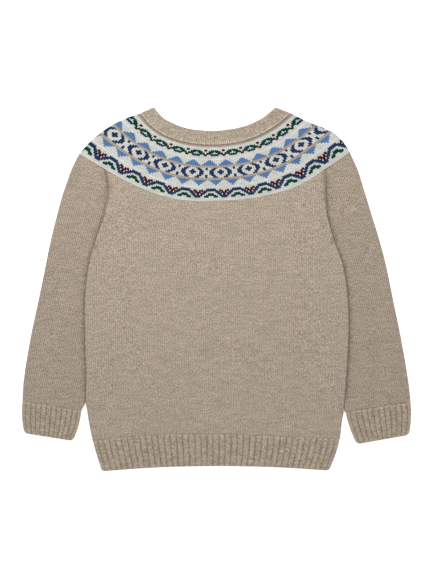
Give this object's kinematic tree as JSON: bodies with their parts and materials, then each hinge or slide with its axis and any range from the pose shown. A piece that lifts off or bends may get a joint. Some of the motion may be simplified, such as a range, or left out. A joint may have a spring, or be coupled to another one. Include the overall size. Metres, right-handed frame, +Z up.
{
  "type": "fair isle sweater",
  "caption": "Child's knitted pullover with a round patterned yoke, fine ribbed neckband and ribbed hem and cuffs, laid flat face down with its sleeves folded along its sides.",
  "frame": {"origin": "on the surface the garment lies on, under the middle of its outline", "axes": "+X from the left cuff to the right cuff as seen from above, +Y from the hem to the neck, +Z up through the back, which faces up"},
  "size_m": [0.499, 0.4658, 0.011],
  "materials": {
    "beige_stocking_stitch": "matt melange wool, fine stocking stitch",
    "beige_rib": "matt melange wool, 2 by 2 rib",
    "beige_fine_rib": "matt melange wool, 1 by 1 rib folded double",
    "fair_isle_knit": "matt wool, stranded pattern in blue, navy, green and burgundy on cream"
  },
  "bodies": {
    "root": {"body_back": "beige_stocking_stitch", "body_front": "beige_stocking_stitch", "hem_back": "beige_rib", "hem_front": "beige_rib", "sleeve_left": "beige_stocking_stitch", "sleeve_right": "beige_stocking_stitch", "cuff_left": "beige_rib", "cuff_right": "beige_rib", "yoke": "fair_isle_knit", "neckband": "beige_fine_rib"}
  },
  "joints": []
}
